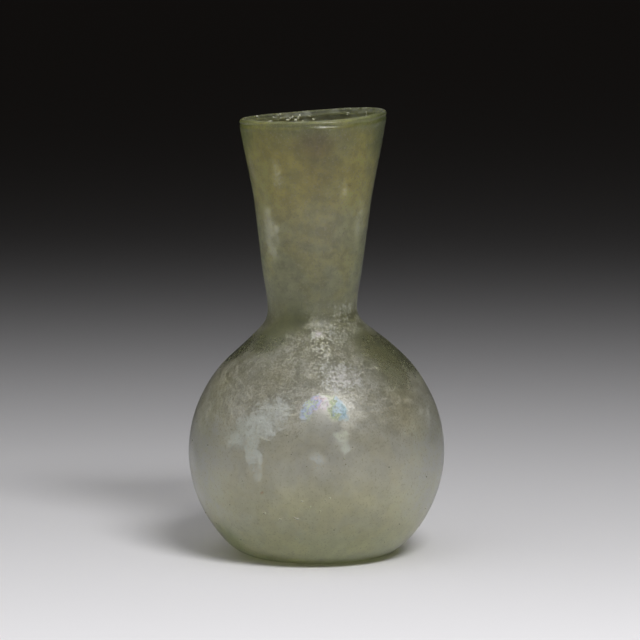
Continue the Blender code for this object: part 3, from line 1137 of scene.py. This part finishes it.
    def settle(self, piece: bpy.types.Object) -> None:
        """Move each point as the hand-made vessel leans, dents and rises at its lip."""
        top = max(vert.co.z for vert in piece.data.vertices)
        for vert in piece.data.vertices:
            spot = vert.co.copy()
            angle = math.atan2(spot.y, spot.x)
            reach = math.hypot(spot.x, spot.y)
            depth = self.sink(spot) * ease(spot.z, 0.0, self.relief_from)
            keep = max(reach - depth, 0.0) / reach if reach > MM else 1.0

            climb = (spot.z - self.lean_to) / (top - self.lean_to)
            shift = ease(spot.z, self.lean_from, self.lean_to) * self.neck_shift_foot
            shift += min(max(climb, 0.0), 1.0) * self.neck_shift_gain
            fullness = hump(spot.z, self.shoulder_height, self.shoulder_spread)
            shift += self.shoulder_fullness * fullness * max(math.cos(angle), 0.0) ** 2

            rise = self.lip_rise * math.cos(angle) + self.lip_wave_sides * math.cos(2 * angle)
            rise += self.lip_wave_back * math.sin(2 * angle)
            rise += self.front_lift * max(-math.sin(angle), 0.0)
            rise -= self.lip_dip * as_share(round_noise(spot, self.lip_dip_scale, layer=0.0))
            lift = rise * ease(spot.z, self.lip_rise_from, top)
            vert.co = (spot.x * keep + shift, spot.y * keep, spot.z + lift)

    def build(self) -> bpy.types.Object:
        """Return the finished vessel."""
        piece = self.turn()
        apply_modifier(piece, "SUBSURF", levels=2, render_levels=2)
        self.settle(piece)
        piece.data.shade_smooth()
        return piece

    def dress(self, piece: bpy.types.Object) -> None:
        """Give the vessel its finish and its place in the frame."""
        piece.data.materials.clear()
        piece.data.materials.append(self.finish.make())
        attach(piece, BODY)
        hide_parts(NODE)


@dataclass(frozen=True)
class Grain:
    """One lump of crust: its bearing from the front in degrees, and its sizes in millimetres."""

    bearing: float
    height: float
    wide: float
    tall: float
    thick: float = 0.10


MOUTH_GRAINS = (
    Grain(-124.5, 108.5, 0.40, 0.24),
    Grain(-110.3, 107.7, 0.34, 0.22),
    Grain(-139.4, 107.0, 0.62, 0.20),
    Grain(-135.0, 106.9, 0.30, 0.20),
    Grain(-143.5, 107.9, 0.28, 0.18),
    Grain(-157.4, 107.1, 0.48, 0.26),
    Grain(-159.6, 107.4, 0.34, 0.24),
    Grain(-161.8, 107.7, 0.28, 0.30),
    Grain(-165.0, 107.0, 0.36, 0.34),
    Grain(-167.2, 107.5, 0.30, 0.42),
    Grain(-168.6, 108.1, 0.26, 0.30),
    Grain(-165.2, 106.4, 0.32, 0.20),
    Grain(-171.3, 106.7, 0.24, 0.18),
    Grain(-150.7, 107.6, 0.22, 0.16),
    Grain(-177.3, 107.9, 0.34, 0.12),
    Grain(147.3, 108.9, 0.40, 0.14),
    Grain(125.2, 109.3, 0.18, 0.40),
    Grain(125.8, 108.6, 0.16, 0.36),
)
BODY_GRAINS = (
    Grain(-9.0, 13.8, 0.42, 0.26),
    Grain(-10.4, 14.1, 0.26, 0.20),
    Grain(-25.3, 14.8, 0.28, 0.22),
    Grain(-17.6, 13.5, 0.26, 0.18),
    Grain(-6.5, 18.4, 0.28, 0.14),
    Grain(6.1, 19.2, 0.22, 0.16),
    Grain(12.9, 27.5, 0.20, 0.16),
    Grain(12.4, 28.9, 0.24, 0.20),
    Grain(6.3, 26.0, 0.24, 0.10),
    Grain(-2.8, 17.0, 0.18, 0.14),
    Grain(1.5, 15.8, 0.20, 0.13),
    Grain(4.0, 18.6, 0.16, 0.12),
)


@dataclass
class CrustGrains:
    """Lumps of burial crust that still cling to one side of the glass."""

    name: str
    wall: Wall
    placed: tuple[Grain, ...]
    loose: int
    seed: int
    size_range: tuple[float, float]
    height_range: tuple[float, float]
    finish: ChalkyCrust
    flatness: Limits = (0.5, 1.0)
    neck_from: float = 58.0 * MM
    neck_middle: float = -1.0 * MM
    outside_reach: float = 60.0 * MM
    fineness: int = 3
    dents: float = 0.55
    dent_scale: float = 1.9
    dent_step: float = 7.3
    lift: float = 0.02 * MM

    def scatter(self) -> list[Grain]:
        """Return small grains at random, all round the flask."""
        draw = random.Random(self.seed)
        grains = []
        for _ in range(self.loose):
            bearing = draw.uniform(-180.0, 180.0)
            size = draw.uniform(*self.size_range)
            height = draw.uniform(*self.height_range)
            grains.append(Grain(bearing, height, size, size * draw.uniform(*self.flatness)))
        return grains

    def lump(self, glass: bpy.types.Object, grain: Grain, index: int) -> bpy.types.Object:
        """Shape one lump and set it on the wall.

        Args:
            glass: The finished vessel.
            grain: Where the lump sits and how large it is.
            index: Its number, which sets how it is dented.

        Returns:
            The lump, with its place in its mesh.
        """
        bearing = math.radians(grain.bearing)
        outward = Vector((math.sin(bearing), -math.cos(bearing), 0.0))
        height = grain.height * MM
        inside = self.wall is Wall.INSIDE
        reach = 0.0 if inside else self.outside_reach
        middle = self.neck_middle if height > self.neck_from else 0.0
        start = Vector((middle, 0.0, height)) + outward * reach
        _, place, normal, _ = glass.ray_cast(start, outward if inside else -outward)

        deselect_all()
        bpy.ops.mesh.primitive_ico_sphere_add(subdivisions=self.fineness, radius=1.0)
        piece = bpy.context.object
        apart = Vector((self.dent_step * index, 0.0, 0.0))
        for vert in piece.data.vertices:
            dent = 1.0 + self.dents * noise.noise(vert.co * self.dent_scale + apart)
            vert.co = vert.co * dent
        bpy.ops.transform.resize(value=(grain.wide * MM, grain.thick * MM, grain.tall * MM))
        bpy.ops.object.transform_apply(location=False, rotation=False, scale=True)
        piece.rotation_euler = normal.to_track_quat("-Y", "Z").to_euler()
        piece.location = place + normal * self.lift
        bpy.ops.object.transform_apply(location=True, rotation=True, scale=False)
        return piece

    def build(self, glass: bpy.types.Object) -> bpy.types.Object:
        """Return all the lumps as one piece.

        Args:
            glass: The finished vessel.

        Returns:
            The joined piece.
        """
        lumps = []
        for index, grain in enumerate(list(self.placed) + self.scatter()):
            lumps.append(self.lump(glass, grain, index))
        make_active(lumps[0])
        for lump in lumps:
            lump.select_set(True)
        bpy.ops.object.join()
        piece = bpy.context.object
        piece.name = piece.data.name = self.name
        piece.data.shade_smooth()
        return piece

    def dress(self, piece: bpy.types.Object) -> None:
        """Give the crust its finish and its place in the frame."""
        piece.data.materials.clear()
        piece.data.materials.append(self.finish.make())
        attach(piece, BODY)


@dataclass
class Lamp:
    """A soft studio light that points at a spot near the flask."""

    name: str
    place: Point
    target: Point
    size: float
    power: float
    spread: float = 180.0
    colour: Colour = WHITE
    shape: str = "DISK"

    def build(self) -> None:
        """Add the light to the scene."""
        data = bpy.data.lights.new(self.name, "AREA")
        data.shape = self.shape
        data.size = self.size
        data.energy = self.power
        data.color = self.colour
        data.spread = math.radians(self.spread)
        lamp = bpy.data.objects.new(self.name, data)
        lamp.location = self.place
        aim = Vector(self.target) - Vector(self.place)
        lamp.rotation_euler = aim.to_track_quat("-Z", "Y").to_euler()
        lamp.visible_camera = False
        bpy.context.scene.collection.objects.link(lamp)


@dataclass
class Studio:
    """The pale floor, the soft lights and the camera at the photograph's angle."""

    floor_size: float = 12.0
    floor_drop: float = 0.1 * MM
    floor_colour: Colour = (0.80, 0.79, 0.81)
    floor_roughness: float = 0.9
    floor_gloss: float = 0.2
    room_colour: Colour = (1.0, 0.88, 0.78)
    room_strength: float = 0.0065
    camera_place: Point = (0.87 * MM, -1.2, 0.22)
    camera_aim: Point = (0.87 * MM, 0.0, 58.66 * MM)
    focal_pixels: float = 4884.0
    frame_pixels: float = 640.0
    sensor: float = 36.0
    far_clip: float = 20.0
    lamps: tuple[Lamp, ...] = (
        Lamp(
            name="key",
            place=(0.483, -1.178, 1.175),
            target=(0.336, -1.3715, 0.0),
            size=0.762,
            power=46.6,
            spread=125.5,
        ),
        Lamp(
            name="overhead",
            place=(-0.061, -0.206, 0.254),
            target=(-0.001, -0.1439, 0.0),
            size=0.914,
            power=0.748,
            spread=134.7,
        ),
    )

    def build_floor(self) -> None:
        """Lay the floor just under the flask."""
        deselect_all()
        level = (0.0, 0.0, -self.floor_drop)
        bpy.ops.mesh.primitive_plane_add(size=self.floor_size, location=level)
        floor = bpy.context.object
        floor.name = "floor"
        g = Graph("floor_paper")
        g.feed(g.shader.inputs["Base Color"], self.floor_colour)
        g.shader.inputs["Roughness"].default_value = self.floor_roughness
        g.shader.inputs["Specular IOR Level"].default_value = self.floor_gloss
        floor.data.materials.append(g.material)

    def build_world(self) -> None:
        """Fill the room with a very weak, even light."""
        world = bpy.data.worlds.new("room")
        world.use_nodes = True
        background = world.node_tree.nodes["Background"]
        background.inputs["Color"].default_value = (*self.room_colour, 1.0)
        background.inputs["Strength"].default_value = self.room_strength
        bpy.context.scene.world = world

    def build_camera(self) -> None:
        """Set the camera at the photograph's distance, height and angle of view."""
        data = bpy.data.cameras.new("camera")
        data.sensor_width = self.sensor
        data.lens = self.sensor * self.focal_pixels / self.frame_pixels
        data.clip_end = self.far_clip
        camera = bpy.data.objects.new("camera", data)
        camera.location = self.camera_place
        aim = Vector(self.camera_aim) - Vector(self.camera_place)
        camera.rotation_euler = aim.to_track_quat("-Z", "Y").to_euler()
        bpy.context.scene.collection.objects.link(camera)
        bpy.context.scene.camera = camera

    def build(self) -> None:
        """Build the whole studio."""
        self.build_floor()
        self.build_world()
        self.build_camera()
        for lamp in self.lamps:
            lamp.build()
        bpy.context.scene.view_settings.view_transform = "Standard"


def report(piece: bpy.types.Object) -> None:
    """Log a piece's size in triangles."""
    faces = sum(len(face.vertices) - 2 for face in piece.data.polygons)
    log.info("%s: %d triangles", piece.name, faces)


def main() -> None:
    """Build the flask, its crust and the studio in order."""
    flask = Flask()
    glass = flask.build()
    flask.dress(glass)
    report(glass)

    mouth = CrustGrains(
        name="mouth_crust",
        wall=Wall.INSIDE,
        placed=MOUTH_GRAINS,
        loose=60,
        seed=11,
        size_range=(0.10, 0.26),
        height_range=(99.0, 108.6),
        finish=ChalkyCrust(),
    )
    body = CrustGrains(
        name="body_crust",
        wall=Wall.OUTSIDE,
        placed=BODY_GRAINS,
        loose=70,
        seed=5,
        size_range=(0.10, 0.20),
        height_range=(6.0, 50.0),
        finish=ChalkyCrust("dull_crust", pale=(0.46, 0.45, 0.36), dark=(0.32, 0.31, 0.23)),
    )
    for grains in (mouth, body):
        crust = grains.build(glass)
        grains.dress(crust)
        report(crust)

    Studio().build()


if __name__ == "__main__":
    main()
